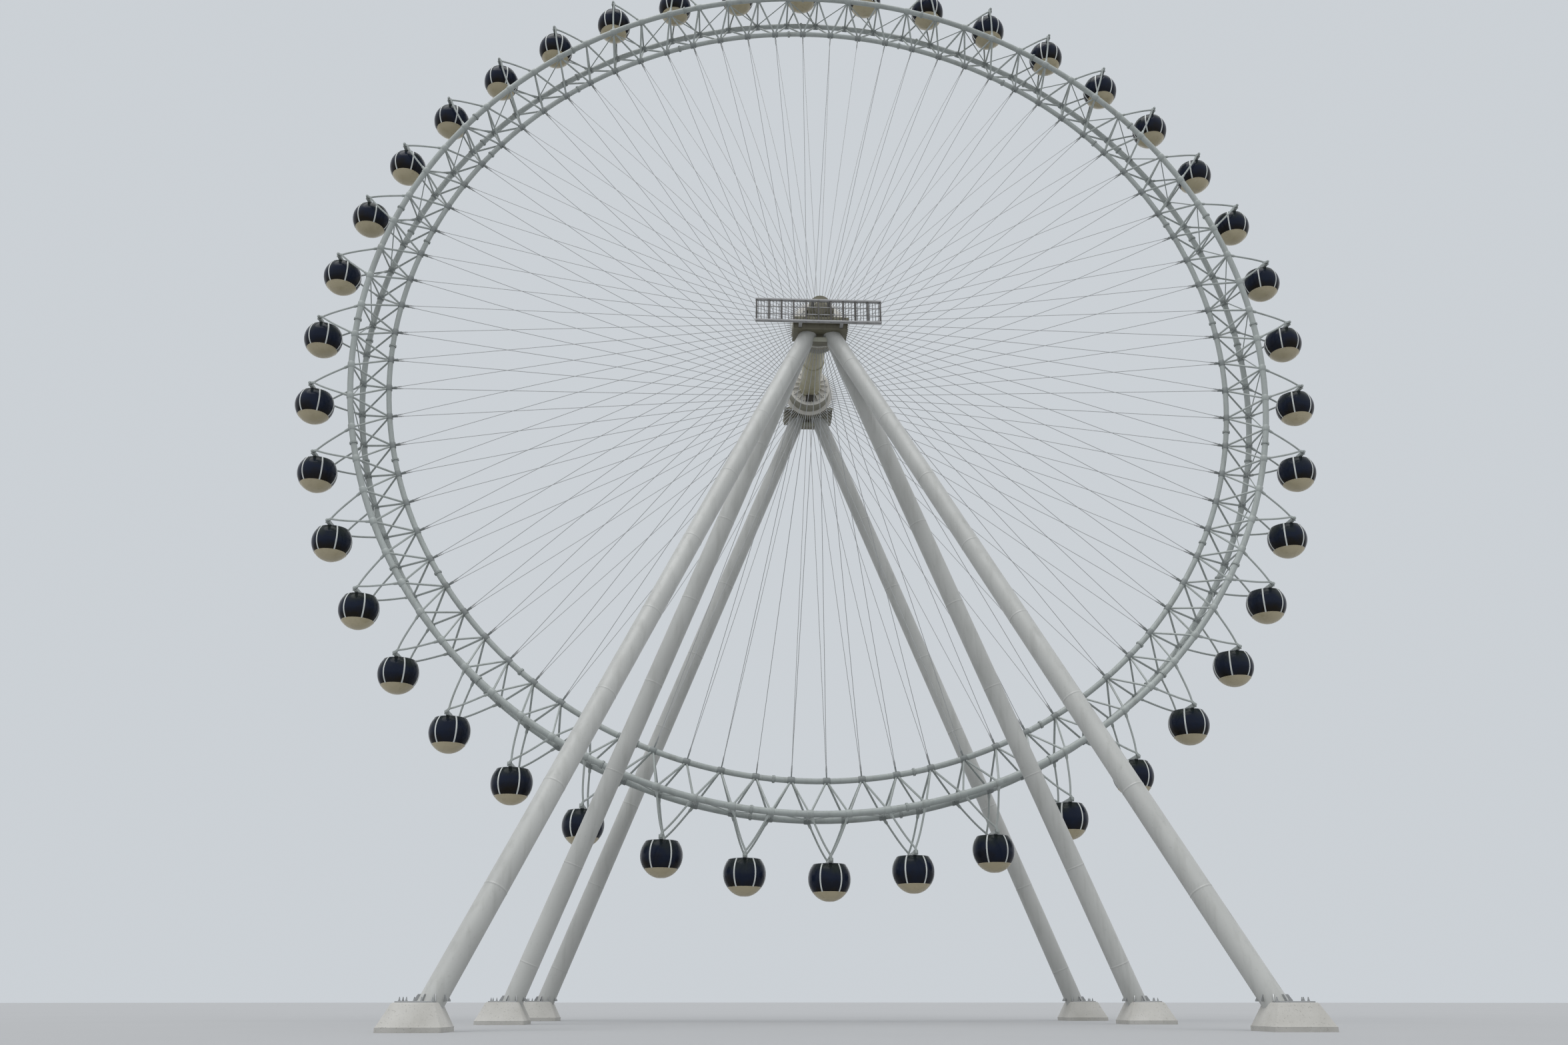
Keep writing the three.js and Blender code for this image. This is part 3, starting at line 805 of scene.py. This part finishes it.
def axleMesh():
    # revolved from the middle outwards, in groups of points with the finish: axle 0, drum 1, flange 2; the drum finish
    # darkens the drum's side, partly its own olive and partly painted shade
    radius, drum, flange, journal = axle["radius"], axle["drum"], axle["flange"], axle["journal"]
    flare, start, shoulder, end = axle["flare"], drumStart, axle["shoulder"], axle["end"]
    inside = wheel["flangeOffset"] - axle["flangeHalf"]
    outside = wheel["flangeOffset"] + axle["flangeHalf"]
    hoop, hoopFrom = axle["hoop"], start + axle["hoopFrom"]
    groups = (
        (0, [(axle["belt"], 0.0), (axle["belt"], 0.006), (radius, 0.008), (radius, start - 0.03),
             (flare, start - 0.022), (flare, start - 0.004), (flare + 0.002, start)]),
        (2, [(drum - 0.003, start), (drum, start + 0.003)]),
        (1, [(drum, hoopFrom), (drum + hoop, hoopFrom + 0.002), (drum + hoop, hoopFrom + 0.01),
             (drum, hoopFrom + 0.012), (drum, inside - 0.001)]),
        (2, [(flange - 0.001, inside), (flange, inside + 0.002), (flange, outside - 0.002),
             (flange - 0.002, outside), (radius + 0.009, outside)]),
        (0, [(radius + 0.001, outside + 0.003), (radius, shoulder - 0.0035), (radius - 0.003, shoulder),
             (journal, shoulder), (journal, end - 0.0035), (journal - 0.004, end), (0.02, end),
             (0.018, end - 0.0045), (0, end - 0.0045)]),
    )
    half = [point for band, points in groups for point in points]
    bands = [band for band, points in groups for point in points][1:]
    profile = [(reach, -along) for reach, along in reversed(half)] + half[1:]
    shape = bmesh.new()
    addRevolved(shape, profile, hub, segments=64, bands=bands[::-1] + bands)
    return meshOf(shape, paint["axle"], paint["drum"], paint["flange"])


def ribMesh(side):
    # stiffener between the axle and the drum's end
    inside, crown, outside = axle["ribRadii"]
    foot, depth = drumStart + 0.001, axle["ribDepth"]
    outline = [(inside, foot), (outside, foot), (outside, foot - 0.005), (crown, foot - depth),
               (inside, foot - depth)]
    shape = bmesh.new()
    addPlate(shape, [(x, side * y) for x, y in outline], axle["ribThickness"], Matrix.Identity(4))
    return meshOf(shape)


def boltMesh(radius, offset, length, size):
    # bolt along the axle's direction, with its washer
    shape = bmesh.new()
    addBar(shape, (radius, offset, 0), (0, length * 0.35, 0), size * 1.45, 8)
    addBar(shape, (radius, offset + length * 0.3, 0), (0, length * 0.7, 0), size)
    return meshOf(shape)


def hatchMesh():
    # near-black box with a bolted lid under the axle, on the back drum's end; its colour is painted shade of a dark
    # recess
    width, depth, height = axle["shadeHatch"]
    shape = bmesh.new()
    back = hub.y + drumStart + 0.001
    middle = hub.z - axle["hatchDrop"]
    addBlock(shape, (width, depth, height), (0, back - depth / 2, middle), bevel=0.0015)
    addBlock(shape, (width + 0.006, 0.004, height + 0.004), (0, back - depth, middle), bevel=0.001)
    for way in (-1, 1):
        for share in (-0.4, 0.0, 0.4):
            bolt = (way * (width / 2 - 0.004), back - depth, middle + share * height)
            addBar(shape, bolt, (0, -0.0045, 0), 0.0024)
    return meshOf(shape, paint["shadeHatch"])


axleMeshes = [axleMesh(), hatchMesh()]
boltFaces = {"flange": wheel["flangeOffset"] + axle["flangeHalf"], "drum": drumStart + 0.001}
for side in (-1, 1):
    axleMeshes.append(copiesRound(paint["flange"], ribMesh(side), axle["ribs"], axle["firstRib"]))
    for face, radius, length, size, count, first in axle["boltRows"]:
        bolt = boltMesh(radius, side * boltFaces[face], side * length, size)
        axleMeshes.append(copiesRound(galvanised, bolt, count, first))
finishPiece("axle", axleMeshes, "wheel", ["spindle"])
print("hub built")

# cabins

cabin = {
    "radius": 0.145, "glass": 0.1438, "floorLatitude": -40, "roofLatitude": 42, "roofHeight": 0.1,
    "hang": 0.109, "bowlDepth": 0.149, "panelWidth": 0.03, "panelInset": 0.0012,
    # degrees above the bowl's edge or the roof's, with the rise over the globe
    "bowlLip": ((-0.9, 0.0), (-0.4, 0.0009), (1.4, 0.0009), (1.8, 0.0), (2.0, -0.0016)),
    "roofEdge": ((-2.9, 0.0), (-0.8, 0.0), (0.0, -0.0012)),
    "mullions": (30, 90, 150, 210, 270, 330), "mullionWidth": 0.0105, "mullionRise": 0.0006,
    "beamWidth": 0.026, "beamHeight": 0.024, "beamReach": 0.146, "padPlace": 0.07, "pad": (0.05, 0.03, 0.014),
    "pin": ((0, 0.002), (0.0095, 0.002), (0.0095, 0.008), (0.0085, 0.0087), (0, 0.0087)),
    "endBolts": ((-0.012, -0.011), (-0.012, 0.011), (0.012, -0.011), (0.012, 0.011)),
}


def onGlobe(radius, latitude):
    return polar(radius, math.radians(latitude))


def cabinShellProfile():
    # from the bottom pole to the top one, in steps with the finish: bowl 0, glass 1, roof 2
    radius, floorLatitude, roofLatitude = cabin["radius"], cabin["floorLatitude"], cabin["roofLatitude"]
    rim, rimHeight = onGlobe(radius, floorLatitude)
    depth = cabin["bowlDepth"] + rimHeight
    bowlRadius = (rim * rim + depth * depth) / (2 * depth)
    bowlCentre = bowlRadius - cabin["bowlDepth"]
    turnAtRim = math.asin(rim / bowlRadius)
    panelTurn = math.asin(cabin["panelWidth"] / bowlRadius)
    steps = [((0, -cabin["bowlDepth"] + cabin["panelInset"]), 0)]
    turns = [(panelTurn * share, cabin["panelInset"]) for share in (0.5, 1.0)]
    turns += [(panelTurn * 1.04, 0.0)]
    turns += [(panelTurn + (turnAtRim - panelTurn) * index / 8, 0.0) for index in range(1, 8)]
    for turn, inset in turns:
        reach = bowlRadius - inset
        steps.append(((reach * math.sin(turn), bowlCentre - reach * math.cos(turn)), 0))
    steps += [(onGlobe(radius + rise, floorLatitude + shift), 0) for shift, rise in cabin["bowlLip"]]
    for latitude in (*range(floorLatitude + 8, roofLatitude - 6, 7), roofLatitude - 3):
        steps.append((onGlobe(cabin["glass"], latitude), 1))
    steps += [(onGlobe(radius + rise, roofLatitude + shift), 2) for shift, rise in cabin["roofEdge"]]
    edge, edgeHeight = onGlobe(cabin["glass"], roofLatitude)
    for share in (0.93, 0.6, 0.3, 0):
        drop = (edgeHeight - cabin["roofHeight"]) * share * share
        steps.append(((edge * share, cabin["roofHeight"] + drop), 2))
    return [point for point, band in steps], [band for point, band in steps[1:]]


def addMullion(shape, azimuth, material):
    # pale bar up the glass, a little proud of it
    turn = math.radians(azimuth)
    outward = Vector((math.sin(turn), -math.cos(turn), 0))
    across = Vector((math.cos(turn), math.sin(turn), 0))
    half, rise = cabin["mullionWidth"] / 2, cabin["mullionRise"]
    section = ((-0.0035, -half), (-0.0002, -half), (rise, -half * 0.75), (rise, half * 0.75),
               (-0.0002, half), (-0.0035, half))
    low, high = cabin["floorLatitude"] + 1.5, cabin["roofLatitude"] - 2
    rings = []
    for index in range(13):
        ring = []
        for proud, reach in section:
            flat, height = onGlobe(cabin["radius"] + proud, low + (high - low) * index / 12)
            ring.append(outward * flat + across * reach + Vector((0, 0, height)))
        rings.append(ring)
    addRings(shape, rings, material=material)


def addHanger(shape, beam, pin):
    # cross piece on two pads over the roof, with an end plate, its bolts and a pin at each end
    reach, hang = cabin["beamReach"], cabin["hang"]
    width, height = cabin["beamWidth"], cabin["beamHeight"]
    padHeight = hang - height / 2 - 0.004
    addBlock(shape, (width, 2 * reach, height), (0, 0, hang), material=beam, bevel=0.0022)
    for side in (-1, 1):
        addBlock(shape, cabin["pad"], (0, side * cabin["padPlace"], padHeight), material=beam, bevel=0.002)
        addBlock(shape, (width + 0.006, 0.004, height + 0.006), (0, side * (reach + 0.001), hang),
                 material=beam, bevel=0.001)
        addRevolved(shape, cabin["pin"], (0, side * reach, hang), side=side, segments=14, material=pin)
        for x, z in cabin["endBolts"]:
            addBar(shape, (x, side * (reach + 0.003), hang + z), (0, side * 0.002, 0), 0.0017, material=pin)


def cabinMesh():
    shape = bmesh.new()
    profile, bands = cabinShellProfile()
    addRevolved(shape, profile, (0, 0, 0), axis="Z", bands=bands)
    for azimuth in cabin["mullions"]:
        addMullion(shape, azimuth, 3)
    addHanger(shape, beam=5, pin=4)
    level = shape.verts.layers.float.new("level")
    for vert in shape.verts:
        vert[level] = vert.co.z / cabin["radius"]
    return meshOf(shape, paint["bowl"], cabinGlass, paint["roof"], paint["mullion"], darkSteel, paint["rim"])


pattern = cabinMesh()
for number, joint in enumerate(levels, 1):
    node = "cabin_%02d" % number
    centre = Vector(joint["pos_m"]) - Vector((0, 0, cabin["hang"]))
    finishPiece("cabin%02d" % number, [pattern], node, [node], place=centre)
print("cabins built")

# legs

leg = {
    "radius": 0.061, "topDrop": 0.173, "topX": 0.091, "plane": 0.712, "uprightFootX": 1.932,
    "splayedFootX": 2.002, "splayedFootY": 2.621, "sunk": 0.3, "firstWeld": 0.35, "weldSpacing": 0.62,
    "weldMargin": 0.2,
    "weldSection": ((-0.008, 0.0), (-0.004, 0.0), (-0.002, 0.0011), (0.002, 0.0011), (0.004, 0.0),
                    (0.008, 0.0)),
}
pedestal = {
    "height": 0.13, "top": 0.085, "base": 0.145, "chamfer": 0.006, "plate": 0.008, "bolts": 8,
    "boltReach": 0.074,
    "gusset": ((0.045, -0.002), (0.083, -0.002), (0.083, 0.004), (0.066, 0.03), (0.045, 0.03)),
    "boltParts": ((0, 0.004, 0.0062, 8), (0.003, 0.009, 0.0042, 6), (0.011, 0.008, 0.0024, 6)),
}


def legKinds(sideY):
    # whether each leg is splayed: an upright and a splayed one at the front, an upright one at the back
    return (False, True) if sideY < 0 else (False,)


def legEnds(sideX, sideY, splayed):
    top = Vector((sideX * leg["topX"], hub.y + sideY * leg["plane"], hub.z - leg["topDrop"]))
    footX = leg["splayedFootX"] if splayed else leg["uprightFootX"]
    footY = leg["splayedFootY"] if splayed else leg["plane"]
    return top, Vector((sideX * footX, hub.y + sideY * footY, 0))


def addLegTube(shape, top, foot):
    # round tube cut level at its top and sunk by a share of its foot block, with weld seams between lengths
    way = (foot - top).normalized()
    across = way.orthogonal().normalized()
    upright = way.cross(across)
    radius = leg["radius"]
    bottomAt = (foot - top).length - pedestal["height"] * (1 - leg["sunk"])
    circle = [math.cos(turn) * across + math.sin(turn) * upright for turn in turnsRound(40)]
    starts = [top + spoke * radius for spoke in circle]
    rings = [[start - way * (start.z - top.z) / way.z for start in starts]]
    at = leg["firstWeld"]
    while at < bottomAt - leg["weldMargin"]:
        for shift, swell in leg["weldSection"]:
            rings.append([top + way * (at + shift) + spoke * (radius + swell) for spoke in circle])
        at += leg["weldSpacing"]
    rings.append([top + way * bottomAt + spoke * radius for spoke in circle])
    addRings(shape, rings)


def blockRing(foot, half, level):
    # square about a foot with its corners cut
    ring = []
    for index, (x, y) in enumerate(((-1, -1), (1, -1), (1, 1), (-1, 1))):
        corner = Vector((foot.x + x * half, foot.y + y * half, level))
        cuts = [Vector((0, -y * pedestal["chamfer"], 0)), Vector((-x * pedestal["chamfer"], 0, 0))]
        ring += [corner + cut for cut in (cuts[::-1] if index % 2 else cuts)]
    return ring


def footMeshes(top, foot):
    # concrete block, base plate, gussets and anchor bolts
    height, low, high = pedestal["height"], pedestal["base"], pedestal["top"]
    block = bmesh.new()
    addRings(block, [blockRing(foot, half, level) for half, level in (
        (low, 0.0), (low, 0.022), (low - 0.004, 0.026), (high + 0.012, height - 0.012),
        (high + 0.006, height - 0.006))])
    steel = bmesh.new()
    way = (foot - top).normalized()
    landing = top + way * ((top.z - height) / -way.z)
    width = 2 * high - 0.004
    addBlock(steel, (width, width, pedestal["plate"]), (foot.x, foot.y, height - pedestal["plate"] / 2),
             bevel=0.0012)
    for turn in turnsRound(pedestal["bolts"], math.pi / pedestal["bolts"]):
        matrix = Matrix.Translation(Vector((landing.x, landing.y, height)))
        matrix = matrix @ Matrix.Rotation(turn, 4, "Z") @ Matrix.Rotation(math.pi / 2, 4, "X")
        addPlate(steel, pedestal["gusset"], 0.004, matrix)
        x, y = (math.copysign(pedestal["boltReach"] * (1 if abs(share) > 0.5 else 0.45), share)
                for share in (math.cos(turn), math.sin(turn)))
        for start, length, radius, count in pedestal["boltParts"]:
            addBar(steel, (foot.x + x, foot.y + y, height - 0.001 + start), (0, 0, length), radius, count)
    return [meshOf(block, concrete), meshOf(steel, galvanised)]


for rowName, sideY in frontAndBack:
    for sideX, sideName in ((-1, "left"), (1, "right")):
        meshes = []
        tubes = bmesh.new()
        for splayed in legKinds(sideY):
            top, foot = legEnds(sideX, sideY, splayed)
            addLegTube(tubes, top, foot)
            meshes += footMeshes(top, foot)
        meshes.insert(0, meshOf(tubes, paint["leg"]))
        replaced = f"{rowName}_{sideName}_leg" + ("s" if sideY < 0 else "")
        finishPiece(f"{rowName}{sideName.capitalize()}Leg", meshes, "support", [replaced])
print("legs built")

# bearing heads

head = {
    "saddleHalf": 0.2, "saddleHeight": 0.054, "depth": 0.19, "flange": 0.007, "stiffeners": 9, "rib": 0.004,
    "housingHalf": 0.1, "housingTop": 0.115, "lip": 0.012, "bore": 0.0625, "capBolts": (-0.06, 0.0, 0.06),
    "deckHalf": 0.205, "deckDepth": 0.26, "deckOut": 0.02, "edgeHeight": 0.018, "edge": 0.009,
    "slats": 34, "slat": (0.0026, 0.009), "beamDrop": 0.203, "beamHeight": 0.037, "beamDepth": 0.065,
    "beamEdge": 0.0015, "tieWidth": 0.04, "tieThickness": 0.009,
}
cover = [(0, 0.014), (0.05, 0.014), (0.056, 0.009), (0.072, 0.007), (0.076, 0.004), (0.076, -0.002),
         (0, -0.002)]
saddleBottom = hub.z - leg["topDrop"] + 0.0003
saddleTop = saddleBottom + head["saddleHeight"]


def legInnerEdge(splayed, level, across):
    # how far from the middle a leg's tube begins, at a height and a distance outwards from the leg plane
    top, foot = legEnds(1, -1, splayed)
    way = (foot - top).normalized()
    centre = top + way * ((level - top.z) / way.z)
    shift = hub.y - leg["plane"] - across - centre.y
    a, b = way.x, way.y
    reach = leg["radius"] + 0.0004
    inside = (a * b * shift) ** 2 - (1 - a * a) * ((1 - b * b) * shift * shift - reach * reach)
    if inside < 0:
        return centre.x
    return centre.x + (a * b * shift - math.sqrt(inside)) / (1 - a * a)


def crossbeamMesh(side):
    # beam between the leg tops with ends shaped to their tubes, and the tie plate up to the saddle; the beam's
    # underside takes the dark hub paint as painted shade
    shape = bmesh.new()
    y = hub.y + side * leg["plane"]
    top = hub.z - head["beamDrop"]
    bottom = top - head["beamHeight"]
    edge = head["beamEdge"]
    rings = []
    for level, inset in ((bottom, edge), (bottom + edge, 0.0), (top - edge, 0.0), (top, edge)):
        right = []
        for index in range(7):
            across = (head["beamDepth"] / 2 - inset) * (1 - index / 3)
            reach = min(legInnerEdge(splayed, level, across) for splayed in legKinds(side))
            right.append(Vector((reach - inset, y + side * across, level)))
        rings.append(right + [Vector((-point.x, point.y, point.z)) for point in reversed(right)])
    addRings(shape, rings)
    # the underside face gets the dark hub paint: painted shade
    for face in shape.faces:
        if face.calc_center_median().z < bottom + edge / 3:
            face.material_index = 1
    tieTop = hub.z - leg["topDrop"] + 0.002
    tie = (head["tieWidth"], head["tieThickness"], tieTop - top + 0.002)
    addBlock(shape, tie, (0, y, (tieTop + top) / 2), material=1)
    return meshOf(shape, paint["cross"], paint["hub"])


def addBored(shape, outline, bore, y, depth):
    # a plate standing across the axle with a round hole through it, both given in x and z about the axle
    faces = []
    for level in (y - depth / 2, y + depth / 2):
        loops = [[shape.verts.new((x, level, hub.z + z)) for x, z in points] for points in (outline, bore)]
        edges = [shape.edges.new(pair) for loop in loops for pair in zip(loop, loop[1:] + loop[:1])]
        bmesh.ops.triangle_fill(shape, edges=edges, use_beauty=True)
        faces.append(loops)
    for low, high in zip(*faces):
        addBand(shape, low, high)


def addSaddle(shape, y):
    # box girder over the leg tops
    width, depth, flange = 2 * head["saddleHalf"], head["depth"], head["flange"]
    web = (width - 0.014, depth - 0.014, head["saddleHeight"] - flange)
    addBlock(shape, web, (0, y, (saddleBottom + saddleTop) / 2))
    for middle in (saddleBottom + flange / 2, saddleTop - flange / 2):
        addBlock(shape, (width, depth, flange), (0, y, middle), bevel=0.0015)


def addHousing(shape, side, y):
    # split bearing housing with its bolts, and the cover outside
    half, lip = head["housingHalf"] - 0.01, head["lip"]
    left = [(-half, saddleTop - hub.z - 0.002), (-half, -lip), (-half - 0.01, -lip), (-half - 0.01, lip),
            (-half + 0.004, lip)]
    arch = [((half - 0.004) * math.cos(turn), lip + (head["housingTop"] - lip) * math.sin(turn))
            for turn in (math.pi - math.pi * index / 12 for index in range(1, 12))]
    outline = left + arch + [(-x, z) for x, z in reversed(left)]
    bore = [polar(head["bore"], turn) for turn in turnsRound(40)]
    addBored(shape, outline, bore, y, head["depth"] * 0.95)
    for x in (-half - 0.004, half + 0.004):
        for dy in head["capBolts"]:
            for start, step in ((0.011, 0.013), (-0.011, -0.011)):
                addBar(shape, (x, y + dy, hub.z + start), (0, 0, step), 0.0045, material=1)
    coverY = y + side * (head["depth"] / 2 - 0.005)
    addRevolved(shape, cover, (0, coverY, hub.z), side=side, segments=40)


def headMeshes(side):
    y = hub.y + side * leg["plane"]
    shape = bmesh.new()
    addSaddle(shape, y)
    addHousing(shape, side, y)
    rib = (head["rib"], head["depth"] - 0.004, head["saddleHeight"] - head["flange"])
    ribs = blockRow(paint["hub"], rib, (0, y, (saddleBottom + saddleTop) / 2), head["saddleHalf"] - 0.004,
                    head["stiffeners"])
    return [meshOf(shape, paint["hub"], darkSteel), ribs, *deckMeshes(side, y), crossbeamMesh(side)]


def deckMeshes(side, y):
    # service deck: edge beams round a grating, with the short beams and the slats let into the long ones
    half, depth, height, edge = head["deckHalf"], head["deckDepth"], head["edgeHeight"], head["edge"]
    shape = bmesh.new()
    deckY = y + side * head["deckOut"]
    middle = saddleTop - 0.001 + height / 2
    for way in (-1, 1):
        edgeY = deckY + way * (depth / 2 - 0.005)
        addBlock(shape, (2 * half, edge, height), (0, edgeY, middle), bevel=0.0015)
        endX = way * (half - 0.0065)
        addBlock(shape, (edge, depth - 0.0175, height - 0.002), (endX, deckY, middle), bevel=0.001)
    width, tall = head["slat"]
    slats = blockRow(galvanised, (width, depth - 0.014, tall), (0, deckY, middle + 0.002), half - 0.014,
                     head["slats"])
    return [meshOf(shape, paint["edge"]), slats]


for rowName, side in frontAndBack:
    finishPiece(rowName + "Head", headMeshes(side), "support", [rowName + "_head"])
print("heads built")

# bare sign frame

sign = {
    "half": 0.46, "centre": -0.02, "low": -0.16, "high": 0.03, "plane": 0.88, "railInset": 0.008,
    "rail": (0.010, 0.012), "railShift": 0.009, "thinRail": 0.006, "thinRails": (0.07, 0.13),
    "stub": (0.024, 0.014), "stubs": (0.06, 0.15),
    # posts and slats: width, thickness, height left free, count, inset of the row, shift to the rear
    "uprights": ((0.012, 0.02, 0.012, 11, 0.008, 0.0), (0.004, 0.003, 0.02, 41, 0.02, 0.008)),
}


def signMeshes():
    y = hub.y - sign["plane"]
    x = sign["centre"]
    low, high = hub.z + sign["low"], hub.z + sign["high"]
    lowRail, highRail = low + sign["railInset"], high - sign["railInset"]
    shape = bmesh.new()
    for z in (lowRail, highRail):
        for way in (-1, 1):
            place = (x, y + way * sign["railShift"], z)
            addBlock(shape, (2 * sign["half"], *sign["rail"]), place, bevel=0.0015)
    for rise in sign["thinRails"]:
        size = (2 * sign["half"], sign["thinRail"], sign["thinRail"])
        addBlock(shape, size, (x, y + 0.008, low + rise), bevel=0.001)
    rear = hub.y - leg["plane"] - head["depth"] / 2 + 0.006
    width, height = sign["stub"]
    for way in (-1, 1):
        for distance, z in zip(sign["stubs"], (highRail, lowRail)):
            addBlock(shape, (width, rear - y, height), (way * distance, (rear + y) / 2, z), bevel=0.002)
    meshes = [meshOf(shape, paint["sign"])]
    for width, thickness, free, count, inset, shift in sign["uprights"]:
        size, middle = (width, thickness, high - low - free), (x, y + shift, (low + high) / 2)
        meshes.append(blockRow(paint["bar"], size, middle, sign["half"] - inset, count, thickness * 0.06))
    return meshes


finishPiece("signFrame", signMeshes(), "support", ["sign_frame"])
print("sign frame built")
